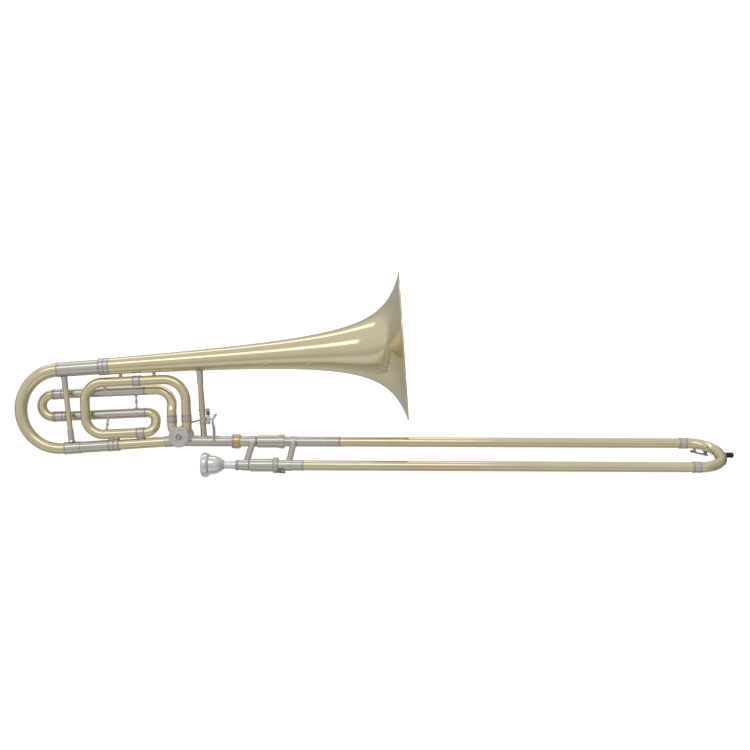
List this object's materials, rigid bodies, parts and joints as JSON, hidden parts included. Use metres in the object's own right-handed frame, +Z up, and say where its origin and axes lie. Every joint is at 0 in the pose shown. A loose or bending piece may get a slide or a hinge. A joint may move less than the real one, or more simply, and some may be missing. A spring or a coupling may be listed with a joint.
{
  "type": "tenor trombone",
  "caption": "Tenor trombone with an F attachment: flared bell section, tuning slides, rotary valve with thumb trigger, and a long telescoping hand slide with mouthpiece.",
  "frame": {"origin": "on the axis of the bell-side slide tube, in the middle of the bell lock nut, where the left hand holds the instrument", "axes": "+X along the hand slide towards its bow; +Z up towards the bell; -Y towards the mouthpiece side of the slide"},
  "size_m": [1.1707, 0.2428, 0.3302],
  "materials": {
    "lacquered_brass": "polished, clear lacquer",
    "nickel_silver": "polished",
    "red_brass": "polished",
    "satin_nickel": "turned, satin",
    "silver_plate": "bright plate",
    "dark_steel": "smooth",
    "rubber": "matt",
    "cork": "raw cork"
  },
  "bodies": {
    "root": {"bell": "lacquered_brass", "main_upper_outer_leg": "nickel_silver", "main_lower_outer_leg": "nickel_silver", "main_lower_tube": "lacquered_brass", "cork_bumper_rest": "cork", "cork_bumper_pressed": "cork", "bell_stay_rear": "lacquered_brass", "bell_stay_front": "lacquered_brass", "trigger_hinge_block": "red_brass", "trigger_spring": "dark_steel", "f_port_ferrule_left": "nickel_silver", "f_port_ferrule_right": "nickel_silver", "f_loop_upper_tube": "lacquered_brass", "f_loop_top_ferrule": "nickel_silver", "f_loop_lower_tube": "lacquered_brass", "f_loop_bottom_ferrule": "nickel_silver", "f_small_bow": "lacquered_brass", "f_inner_bend": "lacquered_brass", "f_upper_outer_leg": "nickel_silver", "f_lower_outer_leg": "nickel_silver", "f_leg_post": "nickel_silver", "f_loop_post": "nickel_silver", "f_ball_post": "nickel_silver", "inner_tube_bell_side": "nickel_silver", "inner_tube_mouthpiece_side": "nickel_silver", "mouthpiece_receiver": "nickel_silver", "cork_barrel_bell_side": "nickel_silver", "cork_barrel_mouthpiece_side": "nickel_silver", "inner_slide_brace": "nickel_silver", "valve_casing": "nickel_silver", "valve_cap": "satin_nickel", "bearing_plate": "nickel_silver", "bell_brace": "nickel_silver", "slide_receiver": "nickel_silver"},
    "main_tuning_slide": {"main_bow": "lacquered_brass", "main_upper_inner_leg": "nickel_silver", "main_lower_inner_leg": "nickel_silver", "main_bow_brace": "nickel_silver"},
    "f_tuning_slide": {"f_bow": "lacquered_brass", "f_upper_inner_leg": "nickel_silver", "f_lower_inner_leg": "nickel_silver"},
    "rotor": {"rotor": "dark_steel", "stop_arm": "nickel_silver"},
    "trigger": {"trigger": "silver_plate"},
    "link_rod": {"link_rod": "dark_steel"},
    "bell_lock_nut": {"bell_lock_nut": "red_brass"},
    "slide_lock": {"slide_lock_ring": "nickel_silver"},
    "mouthpiece": {"mouthpiece": "silver_plate"},
    "hand_slide": {"outer_sleeve_bell_side": "nickel_silver", "outer_sleeve_mouthpiece_side": "nickel_silver", "outer_tube_bell_side": "lacquered_brass", "outer_tube_mouthpiece_side": "lacquered_brass", "outer_slide_brace": "nickel_silver", "slide_ferrule_bell_side": "nickel_silver", "slide_ferrule_mouthpiece_side": "nickel_silver", "slide_bow": "lacquered_brass", "bow_guard": "nickel_silver", "rubber_tip": "rubber", "water_key_seat": "nickel_silver"},
    "water_key": {"water_key": "dark_steel"}
  },
  "joints": [
    {"name": "hand_slide", "type": "slide", "parent": "root", "child": "hand_slide", "axis": [1, 0, 0], "range_m": [0, 0.6]},
    {"name": "water_key", "type": "hinge", "parent": "hand_slide", "child": "water_key", "pos_m": [0.76658, -0.00605, -0.01739], "axis": [-0.5299, -0.7951, -0.2949], "range_deg": [0, 15], "stiffness_Nm_per_rad": 0.02, "springref_deg": -28.65},
    {"name": "slide_lock", "type": "hinge", "parent": "root", "child": "slide_lock", "pos_m": [0.0753, -0.08626, -0.03199], "axis": [1, 0, 0], "range_deg": [0, 25]},
    {"name": "main_tuning_slide", "type": "slide", "parent": "root", "child": "main_tuning_slide", "axis": [-0.9976, 0, -0.0698], "range_m": [0, 0.05]},
    {"name": "f_tuning_slide", "type": "slide", "parent": "root", "child": "f_tuning_slide", "axis": [-0.9989, 0, -0.0471], "range_m": [0, 0.07]},
    {"name": "trigger", "type": "hinge", "parent": "root", "child": "trigger", "pos_m": [-0.04691, 0, 0.04108], "axis": [0.0698, 0, -0.9976], "range_deg": [0, 32], "stiffness_Nm_per_rad": 0.15, "springref_deg": -20.05},
    {"name": "rotor", "type": "hinge", "parent": "root", "child": "rotor", "pos_m": [-0.0913, 0, 0.0079], "axis": [0, 1, 0], "range_deg": [0, 90]},
    {"name": "link_rod", "type": "hinge", "parent": "trigger", "child": "link_rod", "pos_m": [-0.05642, 0.03452, 0.0352], "axis": [0.0698, 0, -0.9976], "range_deg": [-32, 0]},
    {"name": "bell_lock_nut", "type": "hinge", "parent": "root", "child": "bell_lock_nut", "pos_m": [0, 0, 0], "axis": [1, 0, 0], "continuous": true},
    {"name": "mouthpiece", "type": "slide", "parent": "root", "child": "mouthpiece", "axis": [-1, 0, 0], "range_m": [0, 0.045]}
  ],
  "couplings": [
    {"joint": "rotor", "follows": "trigger", "ratio": 2.8125},
    {"joint": "link_rod", "follows": "trigger", "ratio": -1}
  ]
}
